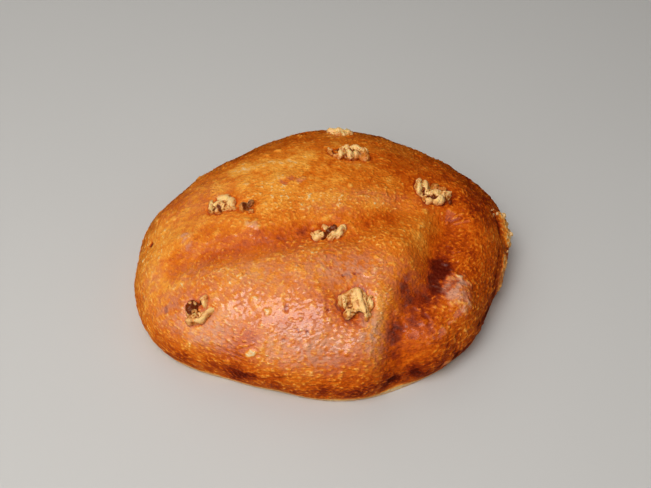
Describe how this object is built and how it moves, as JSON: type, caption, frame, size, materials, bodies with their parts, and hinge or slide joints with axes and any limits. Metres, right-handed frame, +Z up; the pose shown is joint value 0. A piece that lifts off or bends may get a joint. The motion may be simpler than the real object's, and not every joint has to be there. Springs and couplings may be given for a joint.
{
  "type": "gata bread",
  "caption": "Low round loaf of sweet egg-washed gata bread with pieces of walnut kernel pressed into its crust.",
  "frame": {"origin": "middle of the flat base, on the surface that the loaf stands on", "axes": "+Z up out of the crust, +X along the loaf's longer width, -Y towards the front, where two of the walnut pieces lie"},
  "size_m": [0.157, 0.1466, 0.0397],
  "materials": {
    "glazed_crust": "baked crust, orange-brown, glossy with egg wash",
    "walnut_kernel": "toasted walnut kernel, cream with tan ridges and brown skin"
  },
  "bodies": {
    "root": {"loaf": "glazed_crust", "walnut_front_right": "walnut_kernel", "walnut_front_left": "walnut_kernel", "walnut_middle": "walnut_kernel", "walnut_right": "walnut_kernel", "walnut_back": "walnut_kernel", "walnut_left": "walnut_kernel", "walnut_left_small": "walnut_kernel", "walnut_far": "walnut_kernel"}
  },
  "joints": []
}
